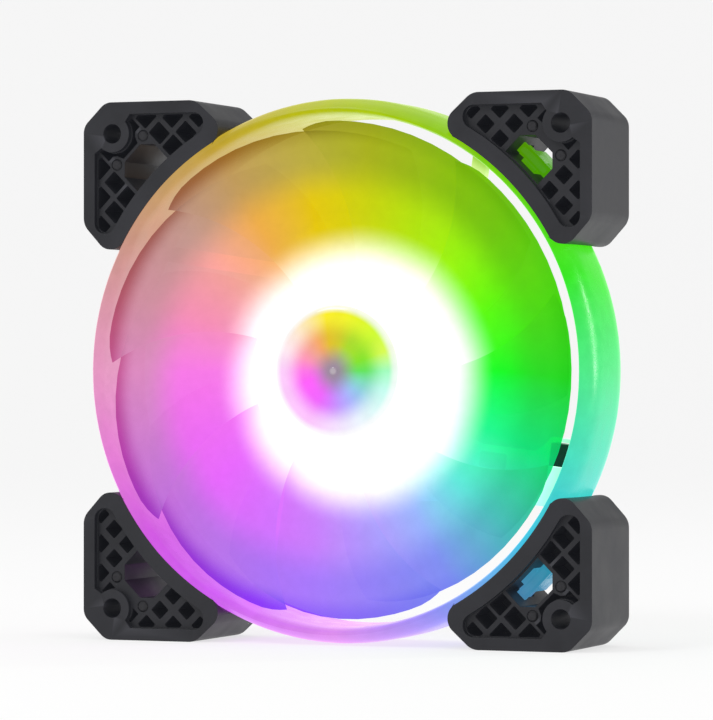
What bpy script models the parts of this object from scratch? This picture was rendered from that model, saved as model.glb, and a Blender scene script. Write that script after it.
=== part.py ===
"""A 120 mm case fan: a round glowing frame with four rubber corner pads and a brushless rotor.

The fan axis is the Y axis. The intake face looks along -Y, +X is to the right of that face and
+Z is up. The world origin is on the axis, half way through the depth of the frame.
Lengths are in millimetres up to the functions that make the meshes, which turn them into metres.
A depth is measured from the front face towards the back.
"""
import math

import bmesh
import bpy
from mathutils import Matrix, Vector

MM = 0.001
GAP = 0.3                      # clearance kept between two pieces that touch

# Outside of the fan
DEPTH = 25.0
HALF_WIDTH = 59.5              # axis to the flat sides of the corner pads
HOLE_PITCH = 105.0
HOLE_DIAMETER = 4.3

# Frame ring
BORE_RADIUS = 55.7
BARREL_RADIUS = 59.4
LIP_RADIUS = 57.1
RING_SEGMENTS = 64

# Struts and motor base, at the back of the frame
STRUT_FRONT, STRUT_BACK = 21.7, 24.8
STRUT_INNER = (27.8, 39.0)     # radius and angle in degrees where a strut leaves the motor base
STRUT_OUTER = (55.7, 61.6)     # and where it meets the ring
STRUT_WIDTH = 3.5
BASE_RADIUS = 27.0

# Rotor
BLADES = 9
TIP_RADIUS = 54.3
TIP_TAPER = 4.2                # how far the tip draws in towards its trailing edge
TIP_CORNER = 1.2               # and how far at its rounded leading corner
HUB_RADIUS = 20.4
HUB_BACK = 18.2
ROOT_FRONT, ROOT_BACK = 5.4, 17.0
TIP_FRONT, TIP_BACK = 1.5, 12.0
DOME_RADIUS = 14.3
SHAFT_RADIUS = 1.5

# Motor
CORE_RADIUS = 15.1
CORE_FRONT, CORE_BACK = 10.0, 15.0
POLES = 4
TUBE_OUTER, TUBE_INNER = 4.3, 3.3
BOARD_RADIUS = 25.7
BOARD_FRONT, BOARD_BACK = 20.1, 21.1
LIGHTS = 8
LIGHT_CIRCLE = 23.3

# Corner pads, in the plane of one corner: first number across, second number up.
# The diagonal runs from the fan axis through the screw hole.
PAD_END = 26.9
PAD_RIM = 2.7
RECESS_END = 30.4
RECESS_RADIUS = 61.0
RECESS_CORNER = 2.4
RECESS_DEPTH = 1.5
POCKET_DEPTH = 9.0
BOSS_RADIUS = 4.1
LATTICE_PITCH = 4.6
LATTICE_START = (55.15, 5.6)   # along and across the diagonal
WINDOW_HALF = 5.1
WINDOW_END = 68.2
WINDOW_CHAMFER = 2.4
PIN_ALONG, PIN_ACROSS = 69.1, 4.5
PIN_RADIUS = 1.2
LUG_FRONT, LUG_BACK = 10.5, 14.5
LUG_HALF = 8.2
LUG_REACH = 63.3
HOOK_REACH = 64.8
HOOK_FRONT, HOOK_BACK = 3.8, 6.3

# Wire channel in the wide strut, along and across the strut
CHANNEL_PATH = ((-5.5, -2.4), (22.5, -2.4), (26.2, 1.3), (26.2, 3.2))
CHANNEL_HALF = 2.2
CHANNEL_FRONT = 22.5
OUTLET_PLACE = (26.2, 6.0)
OUTLET_SIZE = (4.0, 5.0)

PI = math.pi
ROOT_TWO = math.sqrt(2.0)


# ---------------------------------------------------------------- outlines

def polar(radius, degrees):
    """A point in the plane of the fan, by radius and angle."""
    angle = math.radians(degrees)
    return (radius * math.cos(angle), radius * math.sin(angle))


def arc(radius, start, end, steps, centre=(0.0, 0.0)):
    """Points along an arc from one angle to another, in degrees."""
    points = []
    for step in range(steps + 1):
        x, z = polar(radius, start + (end - start) * step / steps)
        points.append((centre[0] + x, centre[1] + z))
    return points


def circle(radius, steps, centre=(0.0, 0.0)):
    return arc(radius, 0.0, 360.0, steps, centre)[:-1]


def diagonal(along, across):
    """A point given along and across the diagonal of the upper right corner."""
    return ((along - across) / ROOT_TWO, (along + across) / ROOT_TWO)


def rounded(corners, steps=3):
    """An outline with its corners rounded. Each corner is x, z and radius."""
    outline = []
    count = len(corners)
    for index, (x, z, radius) in enumerate(corners):
        here = Vector((x, z))
        if radius == 0.0:
            outline.append((x, z))
            continue
        before = Vector(corners[index - 1][:2])
        after = Vector(corners[(index + 1) % count][:2])
        back = (before - here).normalized()
        ahead = (after - here).normalized()
        half_angle = back.angle(ahead) / 2
        reach = radius / math.tan(half_angle)
        centre = here + (back + ahead).normalized() * radius / math.sin(half_angle)
        first = here + back * reach - centre
        last = here + ahead * reach - centre
        turn = first.angle_signed(last)
        for step in range(steps + 1):
            spoke = first.copy()
            spoke.rotate(Matrix.Rotation(-turn * step / steps, 2))
            outline.append(tuple(centre + spoke))
    return outline


def rectangle(left, right, low, high):
    return [(left, low), (right, low), (right, high), (left, high)]


# ---------------------------------------------------------------- solids

def point(x, z, depth):
    """A point in metres, from millimetres across, up and back from the front face."""
    return Vector((x * MM, (depth - DEPTH / 2) * MM, z * MM))


def add_object(name, form, material=None):
    """Turns a bmesh into an object with its faces pointing out, smooth up to its sharp edges."""
    bmesh.ops.recalc_face_normals(form, faces=form.faces)
    mesh = bpy.data.meshes.new(name)
    form.to_mesh(mesh)
    form.free()
    mesh.shade_smooth()
    mesh.set_sharp_from_angle(angle=math.radians(32))
    if material:
        mesh.materials.append(material)
    made = bpy.data.objects.new(name, mesh)
    bpy.context.collection.objects.link(made)
    return made


def turned_form(profile, segments):
    """A solid of revolution about the fan axis. The profile is a list of radius and depth."""
    form = bmesh.new()
    rim = [form.verts.new(point(radius, 0.0, depth)) for radius, depth in profile]
    edges = [form.edges.new(pair) for pair in zip(rim, rim[1:])]
    if profile[0][0] > 0.0 or profile[-1][0] > 0.0:
        edges.append(form.edges.new((rim[-1], rim[0])))
    bmesh.ops.spin(form, geom=rim + edges, cent=(0, 0, 0), axis=(0, -1, 0), angle=2 * PI,
                   steps=segments, use_duplicate=False)
    bmesh.ops.remove_doubles(form, verts=form.verts, dist=0.00001)
    return form


def prism_form(outlines, near, far):
    """Straight solids between two depths, one for each outline."""
    form = bmesh.new()
    for outline in outlines:
        front = [form.verts.new(point(x, z, near)) for x, z in outline]
        back = [form.verts.new(point(x, z, far)) for x, z in outline]
        form.faces.new(front)
        form.faces.new(back[::-1])
        for index in range(len(outline)):
            after = (index + 1) % len(outline)
            form.faces.new((front[index], back[index], back[after], front[after]))
    return form


def sweep_form(section, path, place):
    """A section of (across, depth) points carried along a bent path, with mitred corners.

    place turns a point along and across the strut into a point in the plane of the fan.
    """
    form = bmesh.new()
    line = [Vector(spot) for spot in path]
    rings = []
    for index, spot in enumerate(line):
        behind = (spot - line[index - 1]).normalized() if index else None
        ahead = (line[index + 1] - spot).normalized() if index + 1 < len(line) else None
        way = ((behind or ahead) + (ahead or behind)).normalized()
        side = Vector((-way.y, way.x))
        stretch = 1.0 / way.dot(ahead or behind)
        ring = []
        for across, depth in section:
            along, over = spot + side * across * stretch
            ring.append(form.verts.new(point(*place(along, over), depth)))
        rings.append(ring)
    count = len(section)
    for ring, after in zip(rings, rings[1:]):
        for index in range(count):
            turn = (index + 1) % count
            form.faces.new((ring[index], ring[turn], after[turn], after[index]))
    form.faces.new(rings[0])
    form.faces.new(rings[-1][::-1])
    return form


def turned(name, profile, segments, material=None):
    return add_object(name, turned_form(profile, segments), material)


def prism(name, outline, near, far, material=None):
    return add_object(name, prism_form([outline], near, far), material)


def boolean(body, tool, operation):
    """Joins, cuts or clips a body with a tool object. The tool is used up."""
    modifier = body.modifiers.new("boolean", "BOOLEAN")
    modifier.object = tool
    modifier.operation = operation
    modifier.solver = "EXACT"
    bpy.context.view_layer.update()
    graph = bpy.context.evaluated_depsgraph_get()
    mesh = bpy.data.meshes.new_from_object(body.evaluated_get(graph))
    mesh.name = body.name
    body.modifiers.clear()
    body.data = mesh
    bpy.data.objects.remove(tool)


def cut(body, form):
    boolean(body, add_object("cutter", form), "DIFFERENCE")


def join(body, form):
    boolean(body, add_object("addition", form), "UNION")


def smooth(body):
    """Renews smooth shading and sharp edges after the cuts."""
    body.data.shade_smooth()
    body.data.set_sharp_from_angle(angle=math.radians(32))


def make_material(name, colour, roughness, metallic=0.0):
    made = bpy.data.materials.new(name)
    made.use_nodes = True
    shader = made.node_tree.nodes["Principled BSDF"]
    shader.inputs["Base Color"].default_value = (*colour, 1.0)
    shader.inputs["Roughness"].default_value = roughness
    shader.inputs["Metallic"].default_value = metallic
    made.diffuse_color = (*colour, 1.0)
    return made


# ---------------------------------------------------------------- frame

def ring_outside(offset):
    """Half of the outer profile of the ring, from its lip to the middle of its barrel."""
    return [(LIP_RADIUS + offset, 0.0), (57.5 + offset, 0.5), (58.35 + offset, 2.0),
            (59.05 + offset, 4.5), (BARREL_RADIUS + offset, 8.0)]


def mirrored_depth(profile):
    """The same radii at the other end of the depth, in reverse order."""
    return [(radius, DEPTH - depth) for radius, depth in reversed(profile)]


def strut_direction():
    inner = Vector(polar(*STRUT_INNER))
    outer = Vector(polar(*STRUT_OUTER))
    return inner, (outer - inner).normalized()


def strut_place(turn):
    """Returns a function from along and across a strut, turned about the axis, to the plane."""
    start, way = strut_direction()
    spin = Matrix.Rotation(math.radians(turn), 2)

    def place(along, across):
        spot = start + way * along + Vector((-way.y, way.x)) * across
        spot.rotate(spin)
        return tuple(spot)

    return place


def quarter_turns(outline):
    """The outline turned to each of the four corners."""
    turns = []
    for quarter in range(4):
        spin = Matrix.Rotation(PI / 2 * quarter, 2)
        turns.append([tuple(spin @ Vector(spot)) for spot in outline])
    return turns


def join_lugs(frame):
    """A tongue into each corner pad, with a hooked bar that stands up in the pad's window.

    The bars of the right hand corners stand to the front, the others to the back.
    """
    for inner, outer, half, near, far in (
            (57.6, LUG_REACH, LUG_HALF, LUG_FRONT, LUG_BACK),
            (61.5, HOOK_REACH - 0.1, 2.0, HOOK_FRONT + 0.4, LUG_BACK - 0.3),
            (62.4, HOOK_REACH, 4.3, HOOK_FRONT, HOOK_BACK)):
        turns = quarter_turns([diagonal(*spot) for spot in rectangle(inner, outer, -half, half)])
        join(frame, prism_form(turns[0::3], near, far))
        join(frame, prism_form(turns[1:3], DEPTH - far, DEPTH - near))


def make_frame(material):
    """Ring, pad lugs, struts and motor base, moulded in one piece."""
    outside = ring_outside(0.0)
    mouth = [(BORE_RADIUS, 5.0), (55.9, 2.8), (56.3, 1.0), (56.7, 0.2)]
    foot = [(56.5, DEPTH), (55.9, 24.0), (BORE_RADIUS, 22.5)]
    profile = outside + mirrored_depth(outside) + foot + mouth
    frame = turned("frame", profile, RING_SEGMENTS, material)

    base = [(TUBE_OUTER + GAP, 21.4), (26.0, 21.4), (26.0, 18.8), (BASE_RADIUS - 0.2, 18.8),
            (BASE_RADIUS, 19.0), (BASE_RADIUS, 24.5), (26.5, DEPTH), (21.0, DEPTH),
            (21.0, 24.1), (TUBE_OUTER + GAP, 24.1)]

    struts = []
    half = STRUT_WIDTH / 2
    for turn in (0.0, 90.0, 180.0):
        place = strut_place(turn)
        struts.append([place(*spot) for spot in rectangle(-4.0, 36.0, -half, half)])
    place = strut_place(-88.2)
    wide = [(-6.0, -8.5), (0.0, -7.6), (6.0, -5.5), (38.0, -5.5), (38.0, 9.6), (23.5, 9.6),
            (20.5, 5.5), (7.0, 5.5), (0.5, 8.6), (-6.0, 10.0)]
    struts.append([place(*spot) for spot in wide])
    spider = add_object("struts", prism_form(struts, STRUT_FRONT, STRUT_BACK))
    reach = [(25.0, 20.0), (56.4, 20.0), (56.4, 26.0), (25.0, 26.0)]
    boolean(spider, turned("reach", reach, RING_SEGMENTS), "INTERSECT")
    boolean(spider, turned("base", base, 40), "UNION")
    boolean(frame, spider, "UNION")
    join_lugs(frame)

    groove = [(-CHANNEL_HALF, CHANNEL_FRONT), (CHANNEL_HALF, CHANNEL_FRONT),
              (CHANNEL_HALF, 26.0), (-CHANNEL_HALF, 26.0)]
    cut(frame, sweep_form(groove, CHANNEL_PATH, place))
    middle, over = OUTLET_PLACE
    width, height = OUTLET_SIZE
    socket = rectangle(middle - width / 2 - GAP, middle + width / 2 + GAP,
                       over - height / 2 - GAP, over + height / 2 + GAP)
    cut(frame, prism_form([[place(*spot) for spot in socket]], 20.0, 26.0))
    window = [place(*spot) for spot in rectangle(6.6, 14.0, 0.9, 4.6)]
    wire_hole = [place(*spot) for spot in rectangle(-5.2, -3.2, -4.2, -0.6)]
    cut(frame, prism_form([window, wire_hole], 20.0, 26.0))
    smooth(frame)
    return frame


# ---------------------------------------------------------------- corner pads

def pin_places():
    return [diagonal(PIN_ALONG, PIN_ACROSS), diagonal(PIN_ALONG, -PIN_ACROSS)]


def in_recess(x, z):
    """True inside the sunk field of a pad, clear of the screw boss and the window."""
    along, across = (x + z) / ROOT_TWO, (z - x) / ROOT_TWO
    limit = HALF_WIDTH - PAD_RIM
    field = RECESS_END < x < limit and RECESS_END < z < limit
    clear = math.hypot(x, z) > RECESS_RADIUS and along < HOLE_PITCH / ROOT_TWO
    return field and clear and abs(across) > WINDOW_HALF + 0.5


def lattice_cells():
    """Columns and rows of the lattice whose squares lie mostly in the sunk field."""
    cells = []
    along_start, across_start = LATTICE_START
    for side in (-1, 1):
        for column in range(4):
            for row in range(5):
                inside = 0
                for step in range(36):
                    across = across_start + LATTICE_PITCH * (column + (step % 6 + 0.5) / 6)
                    along = along_start + LATTICE_PITCH * (row + (step // 6 + 0.5) / 6)
                    inside += in_recess(*diagonal(along, side * across))
                if inside > 9:
                    cells.append((side, column, row))
    return cells


def pocket_outlines(cells, rib, wide_rib):
    """Square pockets with thin ribs between them. Every other rib is a wide one."""
    outlines = []
    along_start, across_start = LATTICE_START
    for side, column, row in cells:
        odd = (column + row) % 2
        near, far = (wide_rib / 2, rib / 2) if odd else (rib / 2, wide_rib / 2)
        low = along_start + LATTICE_PITCH * row + near
        high = along_start + LATTICE_PITCH * (row + 1) - rib / 2
        inner = across_start + LATTICE_PITCH * column + rib / 2
        outer = across_start + LATTICE_PITCH * (column + 1) - far
        square = rectangle(low, high, inner, outer)
        outlines.append([diagonal(along, side * across) for along, across in square])
    return outlines


def boss_pockets(thin):
    """Pockets beside the screw boss: one round its inner side, or one on each side of it."""
    if thin:
        half = [(68.9, 2.4), (70.4, 3.0), (71.1, 3.9), (71.1, 5.3), (75.6, 5.3)]
        shapes = [half + [(along, -across) for along, across in reversed(half)]]
    else:
        shapes = [rectangle(71.1, 74.8, 1.4, 4.9), rectangle(71.1, 74.8, -4.9, -1.4)]
    return [[diagonal(*spot) for spot in shape] for shape in shapes]


def recess_outline(inset=0.0):
    """The sunk field: between an arc about the fan axis and the rims, up to the screw boss."""
    end = RECESS_END + inset
    limit = HALF_WIDTH - PAD_RIM - inset
    hole = HOLE_PITCH / 2
    radius = RECESS_RADIUS + inset
    curve = RECESS_CORNER - inset
    start = math.degrees(math.acos(end / radius))
    foot = math.sqrt(radius ** 2 - end ** 2)
    corner = HOLE_PITCH - 2 * inset - limit
    shape = [(end, foot, curve)]
    shape += [(x, z, 0.0) for x, z in arc(radius, start - 5.0, 95.0 - start, 8)]
    shape += [(foot, end, curve), (limit, end, curve), (limit, corner, 0.0)]
    shape += [(x, z, 0.0) for x, z in arc(BOSS_RADIUS + inset, -50.0, -220.0, 10, (hole, hole))]
    shape += [(corner, limit, 0.0), (end, limit, curve)]
    return rounded(shape)


def pad_window():
    """The opening on the diagonal through which the lug of the frame is seen."""
    radius = RECESS_RADIUS + 0.3
    edge = math.degrees(math.asin(WINDOW_HALF / radius))
    outline = arc(radius, 45.0 + edge, 45.0 - edge, 4)
    side, top = WINDOW_END - WINDOW_CHAMFER, WINDOW_HALF - WINDOW_CHAMFER
    for along, across in ((side, -WINDOW_HALF), (WINDOW_END, -top), (WINDOW_END, top),
                          (side, WINDOW_HALF)):
        outline.append(diagonal(along, across))
    return outline


def lug_slot():
    """Room for the tongue of the frame, open towards the ring and into the window."""
    half = LUG_HALF + GAP
    return [diagonal(*spot) for spot in rectangle(54.0, LUG_REACH + GAP, -half, half)]


def make_pad_mesh(material):
    """The upper right pad. Broad bars cross its front face and thin ribs its back face."""
    corners = [(32.0, 46.0, 0.0), (PAD_END, 51.5, 3.4), (PAD_END, 54.5, 3.4),
               (32.4, HALF_WIDTH, 4.0), (54.2, HALF_WIDTH, 3.5)]
    corners += [(z, x, radius) for x, z, radius in reversed(corners)]
    corners.append((37.0, 37.0, 0.0))
    block = prism_form([rounded(corners)], 0.0, DEPTH)
    caps = [edge for edge in block.edges if abs(edge.verts[0].co.y - edge.verts[1].co.y) < 1e-6]
    bmesh.ops.bevel(block, geom=caps, offset=1.0 * MM, segments=2, profile=0.5, affect="EDGES")
    pad = add_object("pad", block, material)

    outside = ring_outside(GAP + 0.05)
    barrel = [(0.0, -1.0), (57.9, -1.0)] + outside + mirrored_depth(outside)
    barrel += [(57.9, DEPTH + 1.0), (0.0, DEPTH + 1.0)]
    cut(pad, turned_form(barrel, RING_SEGMENTS))

    cells = lattice_cells()
    hole = HOLE_PITCH / 2
    for rib, wide_rib, near, far in ((1.6, 1.6, -1.0, POCKET_DEPTH),
                                     (0.7, 1.6, DEPTH - POCKET_DEPTH, DEPTH + 1.0)):
        outlines = pocket_outlines(cells, rib, wide_rib) + boss_pockets(rib < wide_rib)
        pockets = add_object("pockets", prism_form(outlines, near, far))
        field = prism("field", recess_outline(0.2), -2.0, DEPTH + 2.0)
        boolean(pockets, field, "INTERSECT")
        boolean(pad, pockets, "DIFFERENCE")
    cut(pad, prism_form([recess_outline()], -1.0, RECESS_DEPTH))
    cut(pad, prism_form([recess_outline()], DEPTH - RECESS_DEPTH, DEPTH + 1.0))
    cut(pad, prism_form([pad_window()], -1.0, DEPTH + 1.0))
    cut(pad, prism_form([lug_slot()], LUG_FRONT - GAP, LUG_BACK + GAP))
    bores = [circle(HOLE_DIAMETER / 2, 20, (hole, hole))]
    bores += [circle(PIN_RADIUS + GAP, 12, place) for place in pin_places()]
    cut(pad, prism_form(bores, -1.0, DEPTH + 1.0))
    smooth(pad)
    mesh = pad.data
    bpy.data.objects.remove(pad)
    return mesh


def make_corners(pad_material, pin_material):
    """Four equal pads, each turned over beside its neighbours, and two pins in each."""
    mesh = make_pad_mesh(pad_material)
    turns = {"upper_right": (0, 0, 0), "lower_left": (0, PI, 0),
             "upper_left": (0, 0, PI), "lower_right": (PI, 0, 0)}
    for corner, turn in turns.items():
        pad = bpy.data.objects.new("corner_pad_" + corner, mesh)
        pad.rotation_euler = turn
        bpy.context.collection.objects.link(pad)

    profile = [(0.0, 1.2), (PIN_RADIUS - 0.3, 1.2), (PIN_RADIUS, 1.5),
               (PIN_RADIUS, DEPTH - 1.5), (PIN_RADIUS - 0.3, DEPTH - 1.2), (0.0, DEPTH - 1.2)]
    first = turned("pad_pin_1", profile, 12, pin_material)
    places = [spot for outline in quarter_turns(pin_places()) for spot in outline]
    for index, (x, z) in enumerate(places):
        pin = first if index == 0 else bpy.data.objects.new(f"pad_pin_{index + 1}", first.data)
        pin.location = (x * MM, 0.0, z * MM)
        if index:
            bpy.context.collection.objects.link(pin)


# ---------------------------------------------------------------- rotor

def blade_point(radius, chord, side):
    """A point on one blade. chord runs 0 to 1 from the leading edge, side is -1 front, 1 back."""
    reach = max(0.0, (radius - HUB_RADIUS) / (TIP_RADIUS - HUB_RADIUS))
    span = 60.0 + 4.0 * reach
    sweep = 16.0 * reach ** 1.4
    degrees = 90.0 + sweep + span * (0.5 - chord)
    front = ROOT_FRONT + (TIP_FRONT - ROOT_FRONT) * reach
    back = ROOT_BACK + (TIP_BACK - ROOT_BACK) * reach
    depth = front + (back - front) * chord ** 2.2
    thickness = (1.5 - 0.5 * reach) * (0.35 + 0.65 * math.sin(PI * min(max(chord, 0.08), 0.92)))
    drawn = TIP_TAPER * chord ** 2.4 + TIP_CORNER * max(0.0, 1.0 - chord / 0.12) ** 2
    x, z = polar(radius - drawn * reach ** 2, degrees)
    return point(x, z, depth + side * thickness / 2)


def blade_forms(turn_count):
    """All the blades as separate bodies in one bmesh, their roots sunk in the hub wall."""
    form = bmesh.new()
    stations = [19.7, 23.0, 28.0, 35.0, 42.0, 48.5, TIP_RADIUS]
    chords = [0.0, 0.12, 0.35, 0.6, 0.8, 0.92, 1.0]
    for blade in range(turn_count):
        spin = Matrix.Rotation(2 * PI * blade / turn_count, 3, "Y")
        loops = []
        for radius in stations:
            loop = [blade_point(radius, chord, -1) for chord in chords]
            loop += [blade_point(radius, chord, 1) for chord in reversed(chords)]
            loops.append([form.verts.new(spin @ spot) for spot in loop])
        count = len(loops[0])
        for loop, after in zip(loops, loops[1:]):
            for index in range(count):
                turn = (index + 1) % count
                form.faces.new((loop[index], loop[turn], after[turn], after[index]))
        for loop in (loops[0], loops[-1]):
            for index in range(len(chords) - 1):
                form.faces.new((loop[index], loop[index + 1], loop[-index - 2], loop[-index - 1]))
    return form


def make_rotor(parts):
    """Everything that turns on the shaft, parented to an empty on the axis."""
    axis = bpy.data.objects.new("rotor_axis", None)
    bpy.context.collection.objects.link(axis)

    cup = [(0.0, 3.9), (DOME_RADIUS + GAP, 3.9), (DOME_RADIUS + GAP, 2.5), (15.4, 2.2),
           (18.8, 2.5), (20.0, 3.1), (HUB_RADIUS, 4.2), (HUB_RADIUS, HUB_BACK),
           (18.9, HUB_BACK), (18.9, 5.6), (3.9, 5.6), (3.9, 7.4), (1.8, 7.4), (1.8, 5.2),
           (0.0, 5.2)]
    impeller = turned("impeller", cup, 40, parts["blade"])
    boolean(impeller, add_object("blades", blade_forms(BLADES)), "UNION")
    smooth(impeller)

    dome = [(0.0, 1.0), (0.7, 1.05), (1.0, 1.35), (5.0, 1.45), (10.0, 1.8), (13.4, 2.3),
            (DOME_RADIUS, 2.9), (DOME_RADIUS, 3.6), (0.0, 3.6)]
    yoke = [(4.2, 5.9), (18.6, 5.9), (18.6, 17.9), (17.7, 17.9), (17.7, 6.7), (4.2, 6.7)]
    magnet = [(15.7, 8.0), (17.4, 8.0), (17.4, 17.5), (15.7, 17.5)]
    neck = SHAFT_RADIUS - GAP
    shaft = [(0.0, 5.5), (1.3, 5.5), (SHAFT_RADIUS, 5.7), (SHAFT_RADIUS, 21.5), (neck, 21.5),
             (neck, 22.1), (SHAFT_RADIUS, 22.1), (SHAFT_RADIUS, 22.5), (0.9, 22.7), (0.0, 22.7)]
    pieces = [impeller,
              turned("hub_dome", dome, 40, parts["dome"]),
              turned("rotor_yoke", yoke, 32, parts["steel"]),
              turned("magnet_ring", magnet, 32, parts["magnet"]),
              turned("shaft", shaft, 16, parts["steel"]),
              make_clip(parts["steel"])]
    for piece in pieces:
        piece.parent = axis


def make_clip(material):
    """The open ring that snaps in the neck of the shaft and keeps the rotor in."""
    outline = arc(2.7, 30.0, 330.0, 14) + arc(SHAFT_RADIUS, 330.0, 30.0, 14)
    return prism("retaining_clip", outline, 21.6, 22.0, material)


# ---------------------------------------------------------------- bearing and motor

def ring(name, outer, inner, front, back, segments, material):
    profile = [(inner, front), (outer, front), (outer, back), (inner, back)]
    return turned(name, profile, segments, material)


def make_bearing(parts):
    sleeve = (TUBE_INNER - GAP, SHAFT_RADIUS + GAP)
    ring("bearing_tube", TUBE_OUTER, TUBE_INNER, 8.0, 23.8, 20, parts["brass"])
    ring("bearing_sleeve", *sleeve, 9.2, 21.2, 16, parts["bronze"])
    ring("oil_seal", *sleeve, 8.3, 8.9, 16, parts["rubber"])
    thrust = [(0.0, 23.0), (3.0, 23.0), (3.0, 23.7), (0.0, 23.7)]
    turned("thrust_pad", thrust, 20, parts["rubber"])


def pole_outline(shoe_radius, arm_half):
    """The four arms and shoes of the stator, seen along the axis."""
    outline = []
    for pole in range(POLES):
        middle = 360.0 / POLES * pole + 45.0
        way = Vector(polar(1.0, middle))
        side = Vector((-way.y, way.x))
        outline.append(tuple(way * 6.4 - side * arm_half))
        outline.append(tuple(way * 12.3 - side * arm_half))
        outline.append(polar(shoe_radius - 2.1, middle - 35.0))
        outline += arc(shoe_radius, middle - 35.0, middle + 35.0, 7)
        outline.append(polar(shoe_radius - 2.1, middle + 35.0))
        outline.append(tuple(way * 12.3 + side * arm_half))
        outline.append(tuple(way * 6.4 + side * arm_half))
    return outline


def make_plate(name, shoe_radius, arm_half, front, back, material):
    plate = prism(name, pole_outline(shoe_radius, arm_half), front, back, material)
    cut(plate, prism_form([circle(TUBE_OUTER + GAP, 20)], front - 1.0, back + 1.0))
    return plate


def make_coil(index, material):
    """A winding around one arm of the core: a square-sided loop, with its own rounded corners."""
    outer = rounded([(-3.6, 7.3, 1.2), (-3.6, 17.7, 1.2), (3.6, 17.7, 1.2), (3.6, 7.3, 1.2)])
    inner = rounded([(-1.9, 8.7, 0.2), (-1.9, 16.3, 0.2), (1.9, 16.3, 0.2), (1.9, 8.7, 0.2)])
    spin = Matrix.Rotation(-math.radians(360.0 / POLES * index + 45.0), 3, "Y")
    form = bmesh.new()
    loops = []
    for along, outline in ((7.0, outer), (11.0, outer), (11.0, inner), (7.0, inner)):
        loops.append([form.verts.new(spin @ point(along, across, depth))
                      for across, depth in outline])
    for loop, after in zip(loops, loops[1:] + loops[:1]):
        for place in range(len(loop)):
            turn = (place + 1) % len(loop)
            form.faces.new((loop[place], loop[turn], after[turn], after[place]))
    return add_object(f"coil_{index + 1}", form, material)


def make_motor(parts):
    make_plate("stator_core", CORE_RADIUS, 1.5, CORE_FRONT, CORE_BACK, parts["steel"])
    make_plate("insulator_front", 14.6, 1.5, 9.0, CORE_FRONT - GAP, parts["nylon"])
    make_plate("insulator_rear", 14.6, 1.5, CORE_BACK + GAP, 16.0, parts["nylon"])
    for index in range(POLES):
        make_coil(index, parts["copper"])


def box(name, size, place, front, back, material, turn=0.0):
    """A square-cornered piece on the circuit board, turned about its own middle."""
    width, height = size
    form = prism_form([rectangle(-width / 2, width / 2, -height / 2, height / 2)], front, back)
    made = add_object(name, form, material)
    made.location = (place[0] * MM, 0.0, place[1] * MM)
    made.rotation_euler = (0.0, -math.radians(turn), 0.0)
    return made


def make_electronics(parts):
    ring("circuit_board", BOARD_RADIUS, TUBE_OUTER + GAP, BOARD_FRONT, BOARD_BACK, 40,
         parts["board"])
    top = BOARD_FRONT - GAP
    for index in range(LIGHTS):
        degrees = 360.0 / LIGHTS * (index + 0.5)
        box(f"led_{index + 1}", (2.2, 2.6), polar(LIGHT_CIRCLE, degrees), 18.9, top,
            parts["light"], degrees)
    box("hall_sensor", (1.5, 3.0), polar(16.4, 0.0), 18.7, top, parts["chip"])
    box("driver_chip", (4.4, 5.0), polar(10.5, 180.0), 18.7, top, parts["chip"])
    capacitor = turned("capacitor", [(0.0, 18.5), (1.6, 18.5), (1.8, 18.7), (1.8, top), (0.0, top)],
                       16, parts["can"])
    capacitor.location = (0.0, 0.0, 10.8 * MM)
    ring("diffuser_ring", 26.7, 21.1, 17.7, 18.5, 40, parts["diffuser"])


def make_wiring(parts):
    """The flat lead in the channel of the wide strut, its cover and the outlet at its end."""
    place = strut_place(-88.2)
    lobes = []
    for wire in range(4):
        middle = -1.35 + 0.9 * wire
        lobes += [(middle - 0.45, 23.15), (middle - 0.22, 22.85), (middle + 0.22, 22.85)]
    lobes.append((1.8, 23.15))
    under = [(across, 46.6 - depth) for across, depth in reversed(lobes[1:-1])]
    under = [spot for spot in under if spot[1] > 23.46]
    add_object("lead_wires", sweep_form(lobes + under, CHANNEL_PATH[:-1] + ((26.2, 3.0),), place),
               parts["wire"])
    half = CHANNEL_HALF - GAP
    lid = [(-half, 23.9), (half, 23.9), (half, 24.6), (-half, 24.6)]
    lid_path = ((-2.0, -2.4),) + CHANNEL_PATH[1:3] + ((26.2, 2.9),)
    add_object("wire_channel_cover", sweep_form(lid, lid_path, place), parts["cover"])

    middle, over = OUTLET_PLACE
    width, height = OUTLET_SIZE
    outline = rectangle(middle - width / 2, middle + width / 2, over - height / 2, over + height / 2)
    outlet = prism("cable_outlet", [place(*spot) for spot in outline], 20.6, 24.6, parts["cover"])
    throat = rectangle(middle - 1.2, middle + 1.2, over - 1.7, over + 1.7)
    cut(outlet, prism_form([[place(*spot) for spot in throat]], 21.8, 26.0))

    disc = [(0.0, 24.4), (20.6, 24.4), (20.6, 24.9), (0.0, 24.9)]
    turned("back_label", disc, 40, parts["label"])


# ---------------------------------------------------------------- assembly

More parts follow.
